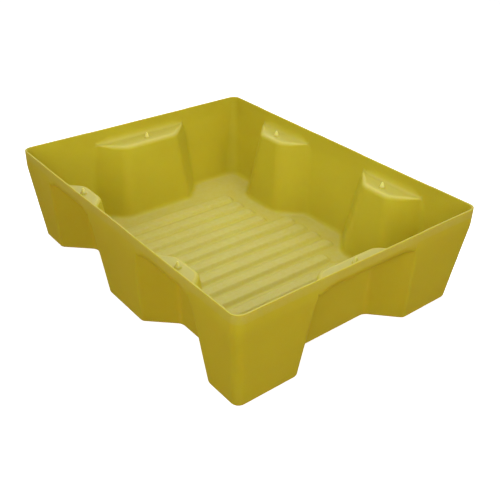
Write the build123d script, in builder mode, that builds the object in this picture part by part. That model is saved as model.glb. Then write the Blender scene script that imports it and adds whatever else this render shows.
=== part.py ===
"""Spill containment sump tray: one single-skin polyethylene moulding, open at the top.

Millimetres, +Z up. The origin is the centre of the base, X runs along the length and Y across the width.
The skin folds inwards six times. Each fold is a recess that is open to the outside and, seen from within,
a ledge block that carries a deck grid just below the rim.
"""

from build123d import *
import math
import os

# ---- driving dimensions ----
length = 1300
width = 1000
height = 357
skin = 6
shoulder_height = 295
wall_draft = 6.35
corner_radius = 32

# A recess is measured at its mouth, on the outer wall, and at its back, the face set furthest in.
# Each pair holds the value at the base and the value at the shoulder.
recess_depth = (97, 93)
side_mouth_half = (187, 147)
side_back_half = (95, 57)
end_mouth_half = (241, 212)
end_back_half = (149, 115)
side_recess_offset = 292
mouth_radius = 20
back_radius = 9

rib_pitch = 75
rib_height = 11
rib_base_width = 64
rib_draft = 48
rib_end_radius = 20
middle_rib_length = 790
outer_rib_length = 600
middle_rib_count = 4
end_rib_count = 4

base_edge_radius = 12
floor_edge_radius = 12
ledge_chamfer = 9
rim_edge_radius = 1.5

pip_inset = 60
pip_base_radius = 12
pip_tip_radius = 4
pip_height = 22
pip_edge_radius = 1.5

# ---- derived dimensions ----
ledge_height = shoulder_height + skin
rib_lean = math.radians(rib_draft)
rib_inset = skin * (1 - math.sin(rib_lean)) / math.cos(rib_lean)
wall_slope = math.tan(math.radians(wall_draft))
side_recess = (side_mouth_half, side_back_half)
end_recess = (end_mouth_half, end_back_half)


def at_level(pair, level):
    """A value that changes evenly from the base to the shoulder and stays the same above it."""
    share = min(level, shoulder_height) / shoulder_height
    return pair[0] + (pair[1] - pair[0]) * share


def wall_half_sizes(level, inset):
    """Half the length and half the width of the tray at a level, inset mm inside its outer face."""
    lean = max(0, shoulder_height - level) * wall_slope
    return length / 2 - lean - inset, width / 2 - lean - inset


def recess_points(centre, wall, level, halves, inset, shrink):
    """Four plan points of a recess, (along the wall, out from the centre), from left to right.

    wall is the distance of the wall's own face, which is already inset. The recess faces move into the tray
    by inset less shrink, so shrink makes the block smaller where its top edge is bevelled.
    """
    mouth = at_level(halves[0], level)
    back = at_level(halves[1], level)
    depth = at_level(recess_depth, level)
    grow = inset - shrink
    flank = math.atan2(depth, mouth - back)
    mouth_x = mouth + (grow - inset * math.cos(flank)) / math.sin(flank)
    back_x = back + grow * math.tan(flank / 2)
    back_y = wall + inset - depth - grow
    left = [(centre - mouth_x, wall), (centre - back_x, back_y)]
    right = [(centre + back_x, back_y), (centre + mouth_x, wall)]
    return left + right


def folded_outline(level, inset, shrink=0):
    """The skin's plan outline at a level, filled: four corners and six recesses, all rounded."""
    half_x, half_y = wall_half_sizes(level, inset)
    side = []
    for centre in (-side_recess_offset, side_recess_offset):
        side += recess_points(centre, half_y, level, side_recess, inset, shrink)
    end = recess_points(0, half_x, level, end_recess, inset, shrink)
    points = [(half_x, half_y)]
    points += [(x, y) for x, y in reversed(side)]
    points += [(-half_x, half_y)]
    points += [(-x, y) for y, x in reversed(end)]
    points += [(-half_x, -half_y)]
    points += [(x, -y) for x, y in side]
    points += [(half_x, -half_y)]
    points += [(x, y) for y, x in end]

    corner = corner_radius - inset
    mouth = mouth_radius - inset
    back = back_radius + inset
    recess = [mouth, back, back, mouth]
    radii = [corner] + recess * 2 + [corner] + recess + [corner] + recess * 2 + [corner] + recess
    with BuildSketch(Plane.XY.offset(level)) as outline:
        with BuildLine():
            FilletPolyline(*points, radius=radii, close=True)
        make_face()
    return outline.sketch


def plain_outline(level, inset):
    """The rim band's plan outline at a level, filled."""
    half_x, half_y = wall_half_sizes(height, inset)
    with BuildSketch(Plane.XY.offset(level)) as outline:
        RectangleRounded(2 * half_x, 2 * half_y, corner_radius - inset)
    return outline.sketch


def rib_rows():
    """The ribs' lengths and the X places of the ribs that have each length."""
    middle = [(i - (middle_rib_count - 1) / 2) * rib_pitch for i in range(middle_rib_count)]
    first = middle[-1] + rib_pitch
    outer = [side * (first + i * rib_pitch) for side in (-1, 1) for i in range(end_rib_count)]
    return [(middle_rib_length, middle), (outer_rib_length, outer)]


def pip_places():
    """The plan places of the locating pips, one at the middle of each ledge."""
    out_x = length / 2 - pip_inset
    out_y = width / 2 - pip_inset
    places = [(-out_x, 0), (out_x, 0)]
    for x in (-side_recess_offset, side_recess_offset):
        places += [(x, -out_y), (x, out_y)]
    return places


# ---- the moulding ----
with BuildPart() as sump_tray:
    # Outer form: the leaning folded wall up to the shoulder, then the upright rim band.
    loft([folded_outline(0, 0), folded_outline(shoulder_height, 0)], ruled=True)
    fillet(sump_tray.faces().sort_by(Axis.Z)[0].edges(), base_edge_radius)
    extrude(plain_outline(shoulder_height, 0), amount=height - shoulder_height)

    # Hollow: the same folds one skin thickness further in up to the bevelled ledges, then the band's inside.
    bevel_height = ledge_height - ledge_chamfer
    wall_outlines = [folded_outline(skin, skin), folded_outline(bevel_height, skin)]
    loft(wall_outlines, ruled=True, mode=Mode.SUBTRACT)
    ledge_outlines = [folded_outline(bevel_height, skin), folded_outline(ledge_height, skin, ledge_chamfer)]
    loft(ledge_outlines, ruled=True, mode=Mode.SUBTRACT)
    extrude(plain_outline(ledge_height, skin), amount=height - ledge_height, mode=Mode.SUBTRACT)
    floor = sump_tray.faces().filter_by(Plane.XY).group_by(Axis.Z)[1]
    fillet(floor.edges(), floor_edge_radius)

    # Floor corrugations: each rib stands up inside the tray and is hollow from below.
    for rib_length, places in rib_rows():
        with BuildSketch(Plane.XY.offset(skin)):
            with Locations(*[(x, 0) for x in places]):
                RectangleRounded(rib_base_width, rib_length, rib_end_radius)
        extrude(amount=rib_height, taper=rib_draft)
        hollow_width = rib_base_width - 2 * rib_inset
        hollow_length = rib_length - 2 * rib_inset
        with BuildSketch(Plane.XY):
            with Locations(*[(x, 0) for x in places]):
                RectangleRounded(hollow_width, hollow_length, rib_end_radius - rib_inset)
        extrude(amount=rib_height, taper=rib_draft, mode=Mode.SUBTRACT)

    # Locating pips on the ledges, rounded at the tip.
    with Locations(*[(x, y, ledge_height) for x, y in pip_places()]):
        Cone(pip_base_radius, pip_tip_radius, pip_height, align=(Align.CENTER, Align.CENTER, Align.MIN))
    fillet(sump_tray.faces().filter_by(Plane.XY).group_by(Axis.Z)[-2].edges(), pip_edge_radius)

    # Rim: both edges of its narrow top face are eased.
    fillet(sump_tray.faces().sort_by(Axis.Z)[-1].edges(), rim_edge_radius)

sump_tray.part.label = "sump_tray"
os.makedirs("parts", exist_ok=True)
export_step(sump_tray.part, "parts/sump_tray.step")
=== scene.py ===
"""Looks of the spill containment sump tray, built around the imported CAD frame. Metres, +Z up.

The tray is one moulded skin. Its visible mesh is a stack of rows: each row runs once round the tray, and
the rows run from the underside, up the outer face, over the rim and down the inner face to the floor. The
floor, its ribs, the underside and the pips are filled in between, so the whole skin is one closed mesh.
"""

import math

import bmesh
import bpy
import numpy as np
from mathutils import Matrix, Vector
from mathutils.geometry import delaunay_2d_cdt


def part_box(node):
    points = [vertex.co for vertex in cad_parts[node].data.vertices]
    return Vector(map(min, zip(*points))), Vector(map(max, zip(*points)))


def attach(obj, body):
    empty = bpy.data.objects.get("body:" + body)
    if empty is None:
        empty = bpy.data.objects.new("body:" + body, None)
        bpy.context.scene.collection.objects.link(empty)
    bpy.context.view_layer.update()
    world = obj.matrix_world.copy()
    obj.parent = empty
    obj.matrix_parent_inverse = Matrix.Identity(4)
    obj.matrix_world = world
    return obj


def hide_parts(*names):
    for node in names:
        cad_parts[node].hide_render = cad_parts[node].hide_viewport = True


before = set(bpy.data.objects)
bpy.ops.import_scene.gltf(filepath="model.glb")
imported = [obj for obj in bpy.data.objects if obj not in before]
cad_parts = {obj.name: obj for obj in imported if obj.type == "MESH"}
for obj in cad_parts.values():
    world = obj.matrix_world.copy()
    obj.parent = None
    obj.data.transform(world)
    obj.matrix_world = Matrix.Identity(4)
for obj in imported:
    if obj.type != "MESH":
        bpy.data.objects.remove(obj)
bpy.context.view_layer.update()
tray_low, tray_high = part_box("sump_tray")

MM = 0.001

# ---- sizes of the moulding ----
# The walls and the recesses are the CAD model's, and so are the places and heights of the ribs and pips. The
# roundings are softer here, which also changes the ribs and pips by a few millimetres.
HALF_X = tray_high.x
HALF_Y = tray_high.y
RIM_Z = tray_high.z
SKIN = 6 * MM
SHOULDER_Z = 295 * MM
LEDGE_Z = SHOULDER_Z + SKIN
DRAFT = math.radians(6.35)
SLOPE = math.tan(DRAFT)
SHOULDER_BLEND = 14 * MM

RECESS_DEPTH = (97 * MM, 93 * MM)
SIDE_MOUTH = (187 * MM, 147 * MM)
SIDE_BACK = (95 * MM, 57 * MM)
END_MOUTH = (241 * MM, 212 * MM)
END_BACK = (149 * MM, 115 * MM)
SIDE_RECESS_X = 292 * MM

# Plan radii as (at the base, at the shoulder), for the outer and the inner face of the skin.
OUTER_RADII = {"corner": (30 * MM, 32 * MM), "mouth": (24 * MM, 20 * MM), "back": (36 * MM, 28 * MM)}
INNER_RADII = {"corner": (58 * MM, 30 * MM), "mouth": (40 * MM, 34 * MM), "back": (70 * MM, 56 * MM)}

BASE_ROUND = 13 * MM
FLOOR_ROUND = 21 * MM
CEILING_ROUND = 14 * MM
CEILING_LIP = 30 * MM
CEILING_BLEND_DEPTH = 16 * MM
LEDGE_BLEND_DEPTH = 22 * MM
LEDGE_WALL_ROUND = 24 * MM
LEDGE_EDGE_ROUND = 18 * MM
# Where a recess is shallow, a rounding and the ceiling's lip take up no more than these shares of its depth.
ROUND_SHARE = 0.42
LIP_SHARE = 0.57
RIM_ROUND = 2.8 * MM
FLAT_MARGIN = 2.5 * MM

RIB_COUNT = 12
RIB_PITCH = 75 * MM
RIB_HEIGHT = 11 * MM
RIB_WIDTH = 70 * MM
RIB_SHOULDER = 20 * MM
RIB_END_ROUND = 28 * MM
MIDDLE_RIB_LENGTH = 784 * MM
OUTER_RIB_LENGTH = 604 * MM

PIP_INSET = 60 * MM
PIP_BASE = 10 * MM
PIP_TIP = 3.4 * MM
PIP_HEIGHT = 22 * MM
PIP_FOOT_ROUND = 5 * MM
PIP_TIP_ROUND = 2.6 * MM

WALL_BOW = 1.5 * MM
WAVE_HEIGHT = 1.2 * MM
FLOOR_WAVE = 1.0 * MM

# How rubbed and pale each place is, from 0 to 1. Part of this paleness is painted light: a painted sheen on
# the floor and ribs, and painted highlights on the rim band and the ledge edges. Below 0 it is painted shade
# instead, on the ledge tops and the rim's top. The pips are small and thin, so light soaks them: they take
# 2, a painted glow that stands in for that light.
BASE_WEAR = 0.6
FLOOR_WEAR_AND_PAINTED_SHEEN = 0.75
GROOVE_PAINTED_SHEEN = 0.5
RIB_WEAR_AND_PAINTED_SHEEN = 0.9
LEDGE_PAINTED_SHADE = -1.0
LEDGE_EDGE_WEAR_AND_PAINTED_HIGHLIGHT = 0.5
PIP_PAINTED_GLOW = 2.0
RIM_BAND_PAINTED_HIGHLIGHT = 0.45
RIM_TOP_PAINTED_SHADE = -0.6

YELLOW = (0.600, 0.518, 0.020, 1)
YELLOW_DEEP = (0.560, 0.466, 0.014, 1)
YELLOW_FRESH = (0.620, 0.545, 0.026, 1)
# A duller yellow for painted shade.
YELLOW_PAINTED_SHADE = (0.535, 0.472, 0.072, 1)
YELLOW_PALE = (0.640, 0.592, 0.215, 1)
# A bright pale yellow, painted on the pips as a glow.
YELLOW_PAINTED_GLOW = (0.810, 0.757, 0.220, 1)

# ---- how finely each stretch of a row is divided ----
CORNER_STEPS = 12
ARC_STEPS = 7
WALL_STEPS = 12
FLANK_STEPS = 14
SIDE_BACK_STEPS = 12
END_BACK_STEPS = 20
FILL_SPACING = 22 * MM


# ---- outlines ----
def at_level(pair, z):
    """A value that changes evenly from the base to the shoulder and stays the same above it."""
    share = np.clip(z / SHOULDER_Z, 0, 1)
    return pair[0] + (pair[1] - pair[0]) * share


def lean(z):
    """How far the wall stands in from the rim at a level, with a soft bend at the shoulder."""
    t = SHOULDER_Z - z
    if t <= -SHOULDER_BLEND:
        return 0.0
    if t >= SHOULDER_BLEND:
        return SLOPE * t
    return SLOPE * (t + SHOULDER_BLEND) ** 2 / (4 * SHOULDER_BLEND)


def recess_points(centre, wall, z, mouth_pair, back_pair, inset):
    """Four plan points of a recess, (along the wall, out from the centre), from left to right."""
    mouth = at_level(mouth_pair, z)
    back = at_level(back_pair, z)
    depth = at_level(RECESS_DEPTH, z)
    shift = inset * math.tan(math.atan2(depth, mouth - back) / 2)
    deep = wall - depth
    return [(centre - mouth - shift, wall), (centre - back - shift, deep),
            (centre + back + shift, deep), (centre + mouth + shift, wall)]


def folded_corners(z, inset):
    """The sharp corners of the skin's outline at a level, with four corners and six recesses."""
    wall_x = HALF_X - lean(z) - inset
    wall_y = HALF_Y - lean(z) - inset
    side = recess_points(-SIDE_RECESS_X, wall_y, z, SIDE_MOUTH, SIDE_BACK, inset)
    side += recess_points(SIDE_RECESS_X, wall_y, z, SIDE_MOUTH, SIDE_BACK, inset)
    end = recess_points(0, wall_x, z, END_MOUTH, END_BACK, inset)
    points = [(wall_x, wall_y)] + [(x, y) for x, y in reversed(side)]
    points += [(-wall_x, wall_y)] + [(-x, y) for y, x in reversed(end)]
    points += [(-wall_x, -wall_y)] + [(x, -y) for x, y in side]
    points += [(wall_x, -wall_y)] + [(x, y) for y, x in end]
    return np.array(points)


SIDE_KINDS = ["corner"] + ["mouth", "back", "back", "mouth"] * 2
END_KINDS = ["corner"] + ["mouth", "back", "back", "mouth"]
CORNER_KINDS = (SIDE_KINDS + END_KINDS) * 2
SIDE_LINE_STEPS = [WALL_STEPS] + [FLANK_STEPS, SIDE_BACK_STEPS, FLANK_STEPS, WALL_STEPS] * 2
END_LINE_STEPS = [WALL_STEPS] + [FLANK_STEPS, END_BACK_STEPS, FLANK_STEPS, WALL_STEPS]
LINE_STEPS = (SIDE_LINE_STEPS + END_LINE_STEPS) * 2


def rounded(points, radii, arc_steps, line_steps):
    """Points round a closed outline whose corners are arcs. Their number depends only on the steps."""
    arcs = []
    for i, corner in enumerate(points):
        before = points[i - 1] - corner
        after = points[(i + 1) % len(points)] - corner
        before = before / np.linalg.norm(before)
        after = after / np.linalg.norm(after)
        half = math.acos(np.clip(before @ after, -1, 1)) / 2
        centre = corner + (before + after) / np.linalg.norm(before + after) * radii[i] / math.sin(half)
        start = corner + before * radii[i] / math.tan(half) - centre
        turn = math.pi - 2 * half
        if before[0] * after[1] - before[1] * after[0] > 0:
            turn = -turn
        angles = np.linspace(0, turn, arc_steps[i] + 1)
        cos, sin = np.cos(angles), np.sin(angles)
        turned = [start[0] * cos - start[1] * sin, start[0] * sin + start[1] * cos]
        arcs.append(centre + np.stack(turned, 1))
    path = []
    for i, arc in enumerate(arcs):
        following = arcs[(i + 1) % len(arcs)][0]
        share = np.linspace(0, 1, line_steps[i] + 1)[1:-1, None]
        path += [arc, arc[-1] + (following - arc[-1]) * share]
    return np.concatenate(path)


def folded(z, inset, radii_at, extra=0):
    """The skin's rounded outline at a level, moved inset + extra into the tray."""
    sign = {"corner": -1, "mouth": -1, "back": 1}
    radii = [at_level(radii_at[kind], z) + sign[kind] * extra for kind in CORNER_KINDS]
    steps = [CORNER_STEPS if kind == "corner" else ARC_STEPS for kind in CORNER_KINDS]
    return rounded(folded_corners(z, inset + extra), radii, steps, LINE_STEPS)


def recess_walls():
    """For each point of a row, the outward direction of the wall whose recess it lies in, or zero."""
    outward = []
    normals = [(0, 1)] * len(SIDE_KINDS) + [(-1, 0)] * len(END_KINDS)
    normals += [(0, -1)] * len(SIDE_KINDS) + [(1, 0)] * len(END_KINDS)
    for i, kind in enumerate(CORNER_KINDS):
        arc = (CORNER_STEPS if kind == "corner" else ARC_STEPS) + 1
        following = CORNER_KINDS[(i + 1) % len(CORNER_KINDS)]
        on_recess_line = kind == "back" or (kind == "mouth" and following == "back")
        outward += [(0, 0) if kind == "corner" else normals[i]] * arc
        outward += [normals[i] if on_recess_line else (0, 0)] * (LINE_STEPS[i] - 1)
    return np.array(outward, float)


OUTWARD = recess_walls()


def plain(z, inset, outline):
    """The outline with its recess points pushed straight out to the wall."""
    wall_x = HALF_X - lean(z) - inset
    wall_y = HALF_Y - lean(z) - inset
    reach = np.abs(OUTWARD) @ np.array([wall_x, wall_y])
    along = (outline * OUTWARD).sum(1)
    return outline + OUTWARD * np.where(reach > 0, reach - along, 0)[:, None]


def squareness(outline):
    """How squarely the outline faces the wall behind it: 1 at the back of a recess, less on its flanks."""
    tangent = np.roll(outline, -1, 0) - np.roll(outline, 1, 0)
    tangent /= np.linalg.norm(tangent, axis=1)[:, None]
    facing = np.abs(OUTWARD[:, 0] * tangent[:, 1] - OUTWARD[:, 1] * tangent[:, 0])
    return np.clip(np.where(np.abs(OUTWARD).sum(1) > 0, facing, 1), 0.5, 1)


def smoothstep(low, high, x):
    """A share that rises smoothly from 0 at low to 1 at high."""
    t = np.clip((x - low) / (high - low), 0, 1)
    return t * t * (3 - 2 * t)


# ---- the skin as one mesh ----
class Skin:
    """Collects the points and faces of one closed mesh."""

    def __init__(self):
        self.points = []
        self.faces = []
        self.wear_and_painted_light = []

    def row(self, xy, z, wear_and_painted_light=0.0):
        """Adds a row of points, each with the given value of wear and painted light, and returns their
        numbers.
        """
        start = len(self.points)
        heights = np.broadcast_to(z, len(xy))
        self.points += [(x, y, h) for (x, y), h in zip(xy, heights)]
        self.wear_and_painted_light += list(np.broadcast_to(wear_and_painted_light, len(xy)))
        return list(range(start, len(self.points)))

    def bridge(self, lower, upper, skipped=()):
        """Quads between two rows of the same length, except at the skipped places."""
        count = len(lower)
        for i in range(count):
            if i not in skipped:
                j = (i + 1) % count
                self.faces.append((lower[i], lower[j], upper[j], upper[i]))

    def fill(self, loops, spacing, height, wear_and_painted_light=0.0):
        """Triangles over the flat area inside the first loop and outside the others, with points between.

        A loop is a list of point numbers.
        """
        flat = [np.array([self.points[i][:2] for i in loop]) for loop in loops]
        numbers = [i for loop in loops for i in loop]
        edges = []
        for loop in loops:
            first = sum(len(l) for l in loops[:loops.index(loop)])
            edges += [(first + i, first + (i + 1) % len(loop)) for i in range(len(loop))]
        low, high = flat[0].min(0), flat[0].max(0)
        counts = np.maximum(1, np.round((high - low) / spacing)).astype(int)
        grid = np.stack(np.meshgrid(*[np.linspace(low[k], high[k], counts[k] + 1) for k in (0, 1)]), -1)
        grid = grid.reshape(-1, 2)
        grid = grid[inside(grid, flat) & (edge_gap(grid, flat) > 0.45 * spacing)]
        numbers += self.row(grid, height, wear_and_painted_light)
        cloud = [Vector(p) for p in np.concatenate(flat + [grid])]
        result = delaunay_2d_cdt(cloud, edges, [], 0, 1e-7, True)
        sources = [numbers[origin[0]] for origin in result[3]]
        corners = np.array([[tuple(result[0][i]) for i in face] for face in result[2]])
        for face, keep in zip(result[2], inside(corners.mean(1), flat)):
            if keep:
                self.faces.append(tuple(sources[i] for i in face))


def inside(points, loops):
    """Which points lie inside an odd number of the loops."""
    odd = np.zeros(len(points), bool)
    for loop in loops:
        for a, b in zip(loop, np.roll(loop, -1, 0)):
            if a[1] == b[1]:
                continue
            crosses = (a[1] > points[:, 1]) != (b[1] > points[:, 1])
            at_x = a[0] + (points[:, 1] - a[1]) * (b[0] - a[0]) / (b[1] - a[1])
            odd ^= crosses & (points[:, 0] < at_x)
    return odd


def edge_gap(points, loops):
    """How far each point is from the nearest edge of the loops."""
    gap = np.full(len(points), np.inf)
    for loop in loops:
        for a, b in zip(loop, np.roll(loop, -1, 0)):
            along = b - a
            share = np.clip((points - a) @ along / (along @ along), 0, 1)
            gap = np.minimum(gap, np.linalg.norm(points - a - share[:, None] * along, axis=1))
    return gap


def step_profile(plain_rows, folded_rows, depth, full_depth):
    """Mixes rows on the plain wall with rows that step across a recess.

    Where the recess is full_depth deep or more, only the stepped rows count.
    """
    weight = smoothstep(0.0, full_depth, depth)[:, None]
    return [a * (1 - weight) + b * weight for a, b in zip(plain_rows, folded_rows)]


def stacked(xy, z):
    """3-D points from plan points and their heights."""
    return np.column_stack([xy, np.broadcast_to(z, len(xy))])


def outer_step():
    """Rows from the outer wall's top, across each recess's ceiling, to the rim band, as 3-D points."""
    face = folded(SHOULDER_Z, 0, OUTER_RADII)
    wall = plain(SHOULDER_Z, 0, face)
    depth = np.linalg.norm(wall - face, axis=1)
    square = squareness(face)
    scale = np.minimum(1, ROUND_SHARE * depth * square / CEILING_ROUND)
    tall = CEILING_ROUND * scale
    wide = tall / square
    lip = np.minimum(CEILING_LIP, LIP_SHARE * depth)
    profile = []
    for angle in np.linspace(DRAFT, math.pi / 2, 8):
        out = -SLOPE * tall + wide / math.cos(DRAFT) - wide * math.cos(angle)
        profile.append((out, SHOULDER_Z - tall + tall * math.sin(angle)))
    for share in np.linspace(0, 1, 5)[1:-1]:
        out = -SLOPE * tall + wide / math.cos(DRAFT)
        profile.append((out + (depth - lip - out) * share, np.full(len(face), SHOULDER_Z)))
    for angle in np.linspace(0, math.pi / 2, 6):
        profile.append((depth - lip + lip * math.sin(angle), SHOULDER_Z + lip * (1 - math.cos(angle))))
    folded_rows = [stacked(face + OUTWARD * out[:, None], z) for out, z in profile]
    levels = np.linspace(SHOULDER_Z - CEILING_ROUND, SHOULDER_Z + CEILING_LIP, len(profile))
    plain_rows = [stacked(plain(z, 0, folded(z, 0, OUTER_RADII)), z) for z in levels]
    return step_profile(plain_rows, folded_rows, depth, CEILING_BLEND_DEPTH)


# The rows across a ledge's flat top, and the hole left there for its pip: the two rows that it lies
# between, and how many points it spans to each side of the middle.
LEDGE_FLAT_SHARES = [0.0, 0.05, 0.28, 0.5, 0.72, 0.95, 1.0]
HOLE_ROWS = (1, 5)
HOLE_REACH = 4


def inner_step():
    """Rows from the rim band's inside, across each ledge, to the inner wall, as 3-D points.

    Also gives each row's wear and painted light, and the place of the first row on the ledge's flat top.
    """
    face = folded(LEDGE_Z, SKIN, INNER_RADII)
    wall = plain(LEDGE_Z, SKIN, face)
    depth = np.linalg.norm(wall - face, axis=1)
    square = squareness(face)
    foot = LEDGE_WALL_ROUND * np.minimum(1, ROUND_SHARE * depth / LEDGE_WALL_ROUND)
    tall = LEDGE_EDGE_ROUND * np.minimum(1, ROUND_SHARE * depth * square / LEDGE_EDGE_ROUND)
    wide = tall / square
    edge = depth + SLOPE * tall - wide / math.cos(DRAFT)
    profile = []
    wears_and_painted_light = []
    # The ledge's rounded foot and flat top get painted shade; its front edge is paler, partly wear and
    # partly a painted highlight.
    for angle in np.linspace(0, math.pi / 2, 8)[:-1]:
        profile.append((foot * (1 - math.cos(angle)), LEDGE_Z + foot * (1 - math.sin(angle))))
        wears_and_painted_light.append(LEDGE_PAINTED_SHADE * smoothstep(0.6, 1.5, angle))
    first_flat = len(profile)
    for share in LEDGE_FLAT_SHARES:
        profile.append((foot + (edge - foot) * share, np.full(len(face), LEDGE_Z)))
        wears_and_painted_light.append(LEDGE_PAINTED_SHADE)
    for angle in np.linspace(0, math.pi / 2 - DRAFT, 8)[1:]:
        profile.append((edge + wide * math.sin(angle), LEDGE_Z - tall * (1 - math.cos(angle))))
        wears_and_painted_light.append(LEDGE_EDGE_WEAR_AND_PAINTED_HIGHLIGHT * (1 - smoothstep(0.5, 1.3, angle)))
    wears_and_painted_light = np.array(wears_and_painted_light)[:, None] * smoothstep(0.0, LEDGE_BLEND_DEPTH, depth)
    folded_rows = [stacked(wall - OUTWARD * across[:, None], z) for across, z in profile]
    levels = np.linspace(LEDGE_Z + LEDGE_WALL_ROUND, LEDGE_Z - LEDGE_EDGE_ROUND, len(profile))
    plain_rows = [stacked(plain(z, SKIN, folded(z, SKIN, INNER_RADII)), z) for z in levels]
    stepped = step_profile(plain_rows, folded_rows, depth, LEDGE_BLEND_DEPTH)
    return stepped, wears_and_painted_light, first_flat


def recess_middles():
    """For each recess, the place in a row of the point at the middle of its back."""
    middles = []
    place = 0
    for i, kind in enumerate(CORNER_KINDS):
        arc = (CORNER_STEPS if kind == "corner" else ARC_STEPS) + 1
        following = CORNER_KINDS[(i + 1) % len(CORNER_KINDS)]
        if kind == "back" and following == "back":
            middles.append(place + arc - 1 + LINE_STEPS[i] // 2)
        place += arc + LINE_STEPS[i] - 1
    return middles


def pip(skin, hole, centre):
    """Fills a hole in a ledge's flat top with a small rounded cone."""
    profile = []
    for angle in np.linspace(0, math.radians(72), 5):
        reach = PIP_BASE + PIP_FOOT_ROUND * (1 - math.sin(angle))
        profile.append((reach, PIP_FOOT_ROUND * (1 - math.cos(angle))))
    for share in (0.25, 0.5, 0.75):
        profile.append((PIP_BASE + (PIP_TIP - PIP_BASE) * share, PIP_HEIGHT * share))
    for angle in np.linspace(math.radians(18), math.radians(80), 5):
        reach = PIP_TIP - PIP_TIP_ROUND + PIP_TIP_ROUND * math.cos(angle)
        profile.append((reach, PIP_HEIGHT - PIP_TIP_ROUND * (1 - math.sin(angle))))
    turns = np.linspace(0, 2 * math.pi, 28, endpoint=False)
    circle = np.stack([np.cos(turns), np.sin(turns)], 1)
    rows = [skin.row(centre + circle * (profile[0][0] + 0.8 * MM), LEDGE_Z, LEDGE_PAINTED_SHADE)]
    for radius, rise in profile:
        # The pip's foot keeps the ledge's painted shade; its body takes a painted glow.
        wear_and_painted_light = LEDGE_PAINTED_SHADE + (PIP_PAINTED_GLOW - LEDGE_PAINTED_SHADE) * smoothstep(0.0, 0.35, rise / PIP_HEIGHT)
        rows.append(skin.row(centre + circle * radius, LEDGE_Z + rise, wear_and_painted_light))
    for lower, upper in zip(rows, rows[1:]):
        skin.bridge(lower, upper)
    skin.faces.append(tuple(rows[-1]))
    skin.fill([hole, rows[0]], 9 * MM, LEDGE_Z, LEDGE_PAINTED_SHADE)


def rib_loops(skin, centre_x, length, base_z, narrower, wears_and_painted_light):
    """The rising rows of one floor rib. Returns the foot row and the top row.

    narrower is how far the rows lie inside the rib's full outline, and the last argument holds the wear and
    painted sheen of foot and top.
    """
    rows = []
    half_x = RIB_WIDTH / 2 - narrower
    half_y = length / 2 - narrower
    corners = np.array([(half_x, half_y), (-half_x, half_y), (-half_x, -half_y), (half_x, -half_y)])
    long_steps = round(length / (18 * MM))
    steps = [3, long_steps, 3, long_steps]
    for share in [-0.06] + list(np.linspace(0, 1, 10)) + [1.06]:
        offset = share * RIB_SHOULDER
        rise = RIB_HEIGHT * smoothstep(0, 1, share)
        shrink = np.array([(1, 1), (-1, 1), (-1, -1), (1, -1)]) * offset
        path = rounded(corners - shrink, [RIB_END_ROUND - narrower - offset] * 4, [10] * 4, steps)
        wear_and_painted_light = wears_and_painted_light[0] + (wears_and_painted_light[1] - wears_and_painted_light[0]) * smoothstep(0.2, 0.9, share)
        rows.append(skin.row(path + np.array([centre_x, 0]), base_z + rise, wear_and_painted_light))
    for lower, upper in zip(rows, rows[1:]):
        skin.bridge(lower, upper)
    return rows[0], rows[-1]


def ribs():
    """The place and the length of each floor rib."""
    places = (np.arange(RIB_COUNT) - (RIB_COUNT - 1) / 2) * RIB_PITCH
    return [(x, MIDDLE_RIB_LENGTH if abs(x) < 2 * RIB_PITCH else OUTER_RIB_LENGTH) for x in places]


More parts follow.
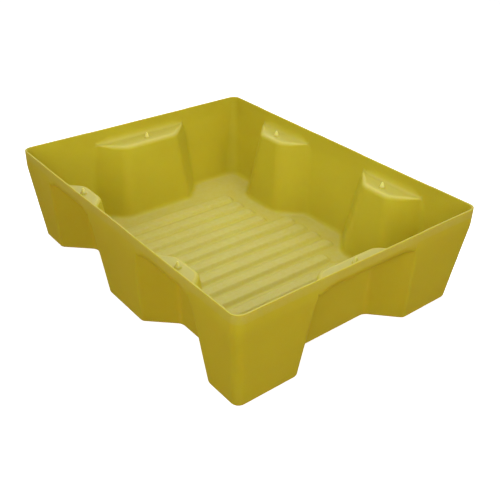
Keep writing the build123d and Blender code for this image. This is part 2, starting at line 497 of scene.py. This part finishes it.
def build_skin():
    """The whole tray, from the underside round the rim to the floor."""
    skin = Skin()
    rows = []

    # Underside edge, then the outer wall and each recess's ceiling.
    wall_inset = BASE_ROUND / math.cos(DRAFT)
    rows.append(skin.row(folded(0, 0, OUTER_RADII, wall_inset + FLAT_MARGIN), 0, BASE_WEAR))
    for angle in np.linspace(0, math.pi / 2 - DRAFT, 8):
        extra = wall_inset - BASE_ROUND * math.sin(angle)
        face = folded(BASE_ROUND, 0, OUTER_RADII, extra)
        rows.append(skin.row(face, BASE_ROUND * (1 - math.cos(angle)), BASE_WEAR * math.cos(angle)))
    for z in np.linspace(BASE_ROUND, SHOULDER_Z - CEILING_ROUND, 15)[1:-1]:
        rows.append(skin.row(folded(z, 0, OUTER_RADII), z))
    for points in outer_step():
        rows.append(skin.row(points[:, :2], points[:, 2]))

    # Rim band, paling towards the rim as a painted highlight, over the rim, whose top gets painted shade,
    # and down the inside.
    face = folded(RIM_Z, 0, OUTER_RADII)
    for z in np.linspace(SHOULDER_Z + CEILING_LIP, RIM_Z - RIM_ROUND, 8)[1:]:
        wear_and_painted_light = RIM_BAND_PAINTED_HIGHLIGHT * smoothstep(SHOULDER_Z, RIM_Z, z)
        rows.append(skin.row(plain(z, 0, face), z, wear_and_painted_light))
    for angle in np.linspace(0, math.pi / 2, 5)[1:]:
        inset = RIM_ROUND * (1 - math.cos(angle))
        z = RIM_Z - RIM_ROUND * (1 - math.sin(angle))
        wear_and_painted_light = RIM_BAND_PAINTED_HIGHLIGHT + (RIM_TOP_PAINTED_SHADE - RIM_BAND_PAINTED_HIGHLIGHT) * math.sin(angle)
        rows.append(skin.row(plain(RIM_Z, inset, face), z, wear_and_painted_light))
    face = folded(RIM_Z, SKIN, INNER_RADII)
    for angle in np.linspace(math.pi / 2, 0, 5):
        inset = SKIN - RIM_ROUND * (1 - math.cos(angle))
        z = RIM_Z - RIM_ROUND * (1 - math.sin(angle))
        rows.append(skin.row(plain(RIM_Z, inset, face), z, RIM_TOP_PAINTED_SHADE * math.sin(angle)))
    for z in np.linspace(RIM_Z - RIM_ROUND, LEDGE_Z + LEDGE_WALL_ROUND, 5)[1:-1]:
        rows.append(skin.row(plain(z, SKIN, face), z))

    # Ledges, with a hole left in each for its pip, then the inner wall down to the floor.
    steps, wears_and_painted_light, first_flat = inner_step()
    step_start = len(rows)
    for points, wear_and_painted_light in zip(steps, wears_and_painted_light):
        rows.append(skin.row(points[:, :2], points[:, 2], wear_and_painted_light))
    floor_top = SKIN + FLOOR_ROUND
    for z in np.linspace(LEDGE_Z - LEDGE_EDGE_ROUND, floor_top, 15)[1:-1]:
        rows.append(skin.row(folded(z, SKIN, INNER_RADII), z))
    for angle in np.linspace(DRAFT, math.pi / 2, 9):
        extra = FLOOR_ROUND / math.cos(DRAFT) - FLOOR_ROUND * math.cos(angle)
        face = folded(floor_top, SKIN, INNER_RADII, extra)
        # The floor's rounding pales as it turns up: painted sheen, with some wear.
        wear_and_painted_light = FLOOR_WEAR_AND_PAINTED_SHEEN * smoothstep(0.7, 1.6, angle)
        rows.append(skin.row(face, floor_top - FLOOR_ROUND * math.sin(angle), wear_and_painted_light))
    extra = FLOOR_ROUND / math.cos(DRAFT) + FLAT_MARGIN
    rows.append(skin.row(folded(floor_top, SKIN, INNER_RADII, extra), SKIN, FLOOR_WEAR_AND_PAINTED_SHEEN))

    top = step_start + first_flat + HOLE_ROWS[0]
    bottom = step_start + first_flat + HOLE_ROWS[1]
    reach = HOLE_REACH
    skipped = {m + i for m in recess_middles() for i in range(-reach, reach)}
    for i, (lower, upper) in enumerate(zip(rows, rows[1:])):
        skin.bridge(lower, upper, skipped if top <= i < bottom else ())
    for middle in recess_middles():
        hole = [rows[top][middle + i] for i in range(-reach, reach)]
        hole += [rows[i][middle + reach] for i in range(top, bottom)]
        hole += [rows[bottom][middle + i] for i in range(reach, -reach, -1)]
        hole += [rows[i][middle - reach] for i in range(bottom, top, -1)]
        across = np.array([HALF_X, HALF_Y]) - PIP_INSET
        beside = np.array(skin.points[rows[top][middle]][:2]) * (1 - np.abs(OUTWARD[middle]))
        pip(skin, hole, OUTWARD[middle] * across + beside)

    # Floor and underside: each rib stands up inside and is hollow from below.
    # Inside, the floor, its grooves and its rib tops are paler: painted sheen, with some wear on the rib
    # tops.
    inside_floor = (rows[-1], SKIN, 0, (GROOVE_PAINTED_SHEEN, RIB_WEAR_AND_PAINTED_SHEEN), FLOOR_WEAR_AND_PAINTED_SHEEN)
    underside = (rows[0], 0, 2 * MM, (BASE_WEAR, 0), BASE_WEAR)
    for edge_row, base_z, narrower, wears_and_painted_light, flat_wear_and_painted_sheen in (inside_floor, underside):
        feet = []
        for x, length in ribs():
            foot, crown = rib_loops(skin, x, length, base_z, narrower, wears_and_painted_light)
            feet.append(foot)
            skin.fill([crown], 16 * MM, base_z + RIB_HEIGHT, wears_and_painted_light[1])
        skin.fill([edge_row] + feet, FILL_SPACING, base_z, flat_wear_and_painted_sheen)
    return skin


def warped(points):
    """The points moved as a cooled moulding moves: the walls bow in, and no wall or floor is quite flat.

    Every move is inwards or upwards, and the edge of the base stays put, so the skin stays in its box.
    """
    p = np.array(points)
    x, y, z = p.T
    wave_x = 0.5 + 0.5 * np.sin(9.1 * y + 1.3) * np.sin(11.7 * z + 0.4 + 2.3 * y)
    wave_y = 0.5 + 0.5 * np.sin(8.3 * x + 0.9) * np.sin(12.9 * z + 2.1 - 1.9 * x)
    wave_z = 0.5 + 0.5 * np.sin(13.0 * x + 0.7) * np.sin(10.4 * y + 1.9)
    off_base = smoothstep(0, 90 * MM, z)
    bow_x = WALL_BOW * np.cos(0.5 * math.pi * y / HALF_Y) * z / RIM_Z + WAVE_HEIGHT * wave_x * off_base
    bow_y = WALL_BOW * np.cos(0.5 * math.pi * x / HALF_X) * z / RIM_Z + WAVE_HEIGHT * wave_y * off_base
    near_x = smoothstep(0.55 * HALF_X, 0.85 * HALF_X, np.abs(x))
    near_y = smoothstep(0.50 * HALF_Y, 0.80 * HALF_Y, np.abs(y))
    mid_floor = (1 - smoothstep(0.60 * HALF_X, 0.80 * HALF_X, np.abs(x)))
    mid_floor *= (1 - smoothstep(0.45 * HALF_Y, 0.72 * HALF_Y, np.abs(y))) * (z < 30 * MM)
    return np.stack([x - np.sign(x) * near_x * bow_x, y - np.sign(y) * near_y * bow_y,
                     z + FLOOR_WAVE * wave_z * mid_floor], 1)


def mesh_object(name, skin):
    """A Blender object from the skin, with its wear and painted light as a value on each point."""
    mesh = bpy.data.meshes.new(name)
    mesh.from_pydata(warped(skin.points).tolist(), [], skin.faces)
    rubbed_and_painted_light = mesh.attributes.new("wear_and_painted_light", "FLOAT", "POINT")
    rubbed_and_painted_light.data.foreach_set("value", np.array(skin.wear_and_painted_light, np.float32))
    shape = bmesh.new()
    shape.from_mesh(mesh)
    bmesh.ops.recalc_face_normals(shape, faces=shape.faces)
    shape.to_mesh(mesh)
    shape.free()
    mesh.shade_smooth()
    piece = bpy.data.objects.new(name, mesh)
    bpy.context.scene.collection.objects.link(piece)
    return piece


# ---- material ----
class Nodes:
    """Short calls for building a node tree."""

    def __init__(self, material):
        material.use_nodes = True
        self.tree = material.node_tree
        self.shader = self.tree.nodes["Principled BSDF"]

    def add(self, kind, inputs, **settings):
        node = self.tree.nodes.new(kind)
        for name, value in settings.items():
            setattr(node, name, value)
        for name, value in inputs.items():
            self.plug(value, node.inputs[name])
        return node

    def plug(self, value, socket):
        if isinstance(value, bpy.types.NodeSocket):
            self.tree.links.new(value, socket)
        else:
            socket.default_value = value

    def noise(self, where, scale, detail=2.0, roughness=0.5):
        inputs = {"Vector": where, "Scale": scale, "Detail": detail, "Roughness": roughness}
        return self.add("ShaderNodeTexNoise", inputs).outputs["Fac"]

    def ramp(self, value, low, high, to_low=0.0, to_high=1.0):
        """Maps value from low..high to to_low..to_high, and no further."""
        inputs = {"Value": value, "From Min": low, "From Max": high, "To Min": to_low, "To Max": to_high}
        return self.add("ShaderNodeMapRange", inputs).outputs["Result"]

    def calculate(self, operation, a, b):
        return self.add("ShaderNodeMath", {0: a, 1: b}, operation=operation).outputs[0]

    def mix(self, amount, a, b, blend="MIX"):
        node = self.add("ShaderNodeMix", {}, data_type="RGBA", blend_type=blend)
        self.plug(amount, node.inputs[0])
        self.plug(a, node.inputs[6])
        self.plug(b, node.inputs[7])
        return node.outputs[2]

    def bump(self, height, distance, strength, normal=None):
        inputs = {"Height": height, "Distance": distance, "Strength": strength}
        node = self.add("ShaderNodeBump", inputs)
        if normal:
            self.plug(normal, node.inputs["Normal"])
        return node.outputs["Normal"]


def polyethylene():
    """Yellow moulded polyethylene: faint mottling, pale rubbed edges mixed with painted sheen and painted
    highlights, painted shade on the ledge and rim tops, a painted glow on the pips, a fine grain and soft
    ripples.
    """
    material = bpy.data.materials.new("yellow_polyethylene_skin")
    nodes = Nodes(material)
    place = nodes.add("ShaderNodeTexCoord", {}).outputs["Object"]
    wear_and_painted_light = nodes.add("ShaderNodeAttribute", {}, attribute_name="wear_and_painted_light").outputs["Fac"]

    clouds = nodes.ramp(nodes.noise(place, 3.1, 3.0), 0.3, 0.7)
    blotches = nodes.ramp(nodes.noise(place, 17.0, 4.0, 0.6), 0.3, 0.7)
    grain = nodes.ramp(nodes.noise(place, 620.0, 2.0), 0.35, 0.65)
    colour = nodes.mix(clouds, YELLOW_DEEP, YELLOW)
    colour = nodes.mix(nodes.calculate("MULTIPLY", blotches, 0.35), colour, YELLOW_FRESH)
    colour = nodes.mix(nodes.calculate("MULTIPLY", grain, 0.12), colour, YELLOW_PALE)

    stretched = nodes.add("ShaderNodeMapping", {"Vector": place, "Scale": (6.0, 48.0, 30.0)})
    streaks = nodes.ramp(nodes.noise(stretched.outputs["Vector"], 4.0, 5.0, 0.65), 0.60, 0.72)
    patches = nodes.ramp(nodes.noise(place, 55.0, 5.0, 0.7), 0.35, 0.62, 0.35, 0.75)
    # Above 0 the value paints pale wear together with painted sheen and painted highlights, in patches; the
    # streaks are real scuffs.
    rubbed_and_painted_light = nodes.calculate("MULTIPLY", nodes.calculate("MAXIMUM", wear_and_painted_light, 0.0), patches)
    scuffs_and_painted_sheen = nodes.calculate("ADD", nodes.calculate("MULTIPLY", streaks, 0.07), rubbed_and_painted_light)
    colour = nodes.mix(scuffs_and_painted_sheen, colour, YELLOW_PALE)
    # From 1 to 2 the value paints a glow: the pips are painted brighter.
    colour = nodes.mix(nodes.ramp(wear_and_painted_light, 1.0, 2.0), colour, YELLOW_PAINTED_GLOW)
    # Below 0 the value paints shade: painted shade on the ledge tops and the rim's top.
    colour = nodes.mix(nodes.ramp(wear_and_painted_light, 0.0, -1.0, 0.0, 0.85), colour, YELLOW_PAINTED_SHADE)
    nodes.plug(colour, nodes.shader.inputs["Base Color"])

    satin = nodes.ramp(blotches, 0.0, 1.0, 0.40, 0.48)
    rough = nodes.calculate("ADD", satin, nodes.calculate("MULTIPLY", scuffs_and_painted_sheen, 0.35))
    nodes.plug(rough, nodes.shader.inputs["Roughness"])

    uneven = nodes.bump(nodes.noise(place, 26.0, 2.0), 0.004, 0.10)
    peel = nodes.bump(nodes.noise(place, 330.0, 2.0), 0.0006, 0.22, uneven)
    fine = nodes.bump(nodes.noise(place, 1150.0, 1.0), 0.0002, 0.25, peel)
    nodes.plug(fine, nodes.shader.inputs["Normal"])

    nodes.plug(0.5, nodes.shader.inputs["Specular IOR Level"])
    nodes.plug(0.50, nodes.shader.inputs["Subsurface Weight"])
    nodes.plug((1.0, 0.62, 0.08), nodes.shader.inputs["Subsurface Radius"])
    nodes.plug(0.010, nodes.shader.inputs["Subsurface Scale"])
    return material


# ---- studio ----
def floor_material():
    """A white floor that glows, so it stays pale."""
    material = bpy.data.materials.new("pale_floor")
    nodes = Nodes(material)
    place = nodes.add("ShaderNodeTexCoord", {}).outputs["Object"]
    shade = nodes.noise(place, 1.5, 2.0)
    pale = nodes.mix(shade, (0.90, 0.90, 0.90, 1), (0.93, 0.93, 0.93, 1))
    nodes.plug(pale, nodes.shader.inputs["Base Color"])
    nodes.plug(0.8, nodes.shader.inputs["Roughness"])
    nodes.plug(0.2, nodes.shader.inputs["Specular IOR Level"])
    nodes.plug((1, 1, 1, 1), nodes.shader.inputs["Emission Color"])
    nodes.plug(0.80, nodes.shader.inputs["Emission Strength"])
    return material


def studio_floor():
    """A round white floor whose edge curves up into a wall, so every side has a pale background.

    The camera sees it, but it neither lights the tray nor shows as a reflection on it.
    """
    flat, bend = 9.0, 7.0
    rings = [(flat * share, 0) for share in (0.25, 0.5, 0.75, 1.0)]
    for angle in np.linspace(0, math.pi / 2, 13)[1:]:
        rings.append((flat + bend * math.sin(angle), bend * (1 - math.cos(angle))))
    turns = np.linspace(0, 2 * math.pi, 96, endpoint=False)
    level = -0.4 * MM
    points = [(r * math.cos(t), r * math.sin(t), level + z) for r, z in rings for t in turns]
    count = len(turns)
    faces = [tuple(range(count))]
    for ring in range(len(rings) - 1):
        for i in range(count):
            j = (i + 1) % count
            start = ring * count
            faces.append((start + i, start + count + i, start + count + j, start + j))
    mesh = bpy.data.meshes.new("studio_floor")
    mesh.from_pydata(points, [], faces)
    mesh.shade_smooth()
    mesh.materials.append(floor_material())
    ground = bpy.data.objects.new("studio_floor", mesh)
    bpy.context.scene.collection.objects.link(ground)
    ground.visible_glossy = False
    ground.visible_diffuse = False
    ground.visible_shadow = False


def area_light(name, place, aim, size, power, shines=True):
    """A soft lamp. One that doesn't shine lights a surface without showing as a highlight on it."""
    light = bpy.data.lights.new(name, "AREA")
    light.shape = "RECTANGLE"
    light.size, light.size_y = size
    light.energy = power
    lamp = bpy.data.objects.new(name, light)
    direction = Vector(aim) - Vector(place)
    lamp.matrix_world = Matrix.Translation(place) @ direction.to_track_quat("-Z", "Y").to_matrix().to_4x4()
    lamp.visible_glossy = shines
    bpy.context.scene.collection.objects.link(lamp)


def studio_world():
    """A soft studio all round: a pale band just above the horizon and a warm glow from below it."""
    world = bpy.data.worlds.new("studio")
    bpy.context.scene.world = world
    world.use_nodes = True
    tree = world.node_tree
    place = tree.nodes.new("ShaderNodeTexCoord")
    split = tree.nodes.new("ShaderNodeSeparateXYZ")
    lift = tree.nodes.new("ShaderNodeMapRange")
    lift.inputs["From Min"].default_value = -1
    ramp = tree.nodes.new("ShaderNodeValToRGB")
    glow = ramp.color_ramp.elements
    glow[0].position, glow[0].color = 0.0, (0.32, 0.15, 0.00, 1)
    glow[1].position, glow[1].color = 1.0, (0.04, 0.05, 0.06, 1)
    glow.new(0.35).color = (0.40, 0.28, 0.08, 1)
    glow.new(0.50).color = (0.06, 0.06, 0.05, 1)
    glow.new(0.60).color = (0.40, 0.40, 0.40, 1)
    glow.new(0.80).color = (0.06, 0.07, 0.08, 1)
    tree.links.new(place.outputs["Generated"], split.inputs[0])
    tree.links.new(split.outputs["Z"], lift.inputs["Value"])
    tree.links.new(lift.outputs["Result"], ramp.inputs["Fac"])
    tree.links.new(ramp.outputs["Color"], tree.nodes["Background"].inputs["Color"])


def studio_camera():
    """The camera looks down at the front corner of the tray, very slightly rolled."""
    azimuth, elevation, roll = [math.radians(a) for a in (50.62, 31.72, 1.45)]
    back = Vector((math.sin(azimuth) * math.cos(elevation), -math.cos(azimuth) * math.cos(elevation),
                   math.sin(elevation)))
    right = Vector((0, 0, 1)).cross(back).normalized()
    up = back.cross(right)
    tilted_right = right * math.cos(roll) + up * math.sin(roll)
    tilted_up = up * math.cos(roll) - right * math.sin(roll)
    lens = bpy.data.cameras.new("camera")
    lens.sensor_width = 36
    lens.lens = 51.82
    camera = bpy.data.objects.new("camera", lens)
    camera.matrix_world = Matrix((tilted_right, tilted_up, back)).transposed().to_4x4()
    distance, aside, above = 2.6967, 0.0578, 0.0468
    camera.location = back * distance + tilted_right * aside + tilted_up * above
    bpy.context.scene.collection.objects.link(camera)
    bpy.context.scene.camera = camera


# ---- the scene ----
tray = mesh_object("sump_tray_skin", build_skin())
tray.data.materials.append(polyethylene())
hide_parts("sump_tray")
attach(tray, "root")

studio_floor()
studio_world()
studio_camera()
area_light("overhead", (-0.2, 0.2, 3.0), (0, 0, 0.1), (3.2, 2.6), 53)
area_light("back_softbox", (-2.6, 2.1, 2.4), (0, 0, 0), (3.2, 2.0), 44)
area_light("front_fill", (1.9, -2.6, 1.7), (0, 0, 0.2), (2.4, 1.8), 45, shines=False)
area_light("left_fill", (-1.8, -2.8, 1.6), (0, 0, 0.2), (2.4, 1.8), 11, shines=False)
area_light("right_fill", (3.2, 0.6, 2.0), (0, 0, 0.2), (2.4, 1.8), 39, shines=False)
bpy.context.scene.view_settings.view_transform = "Standard"
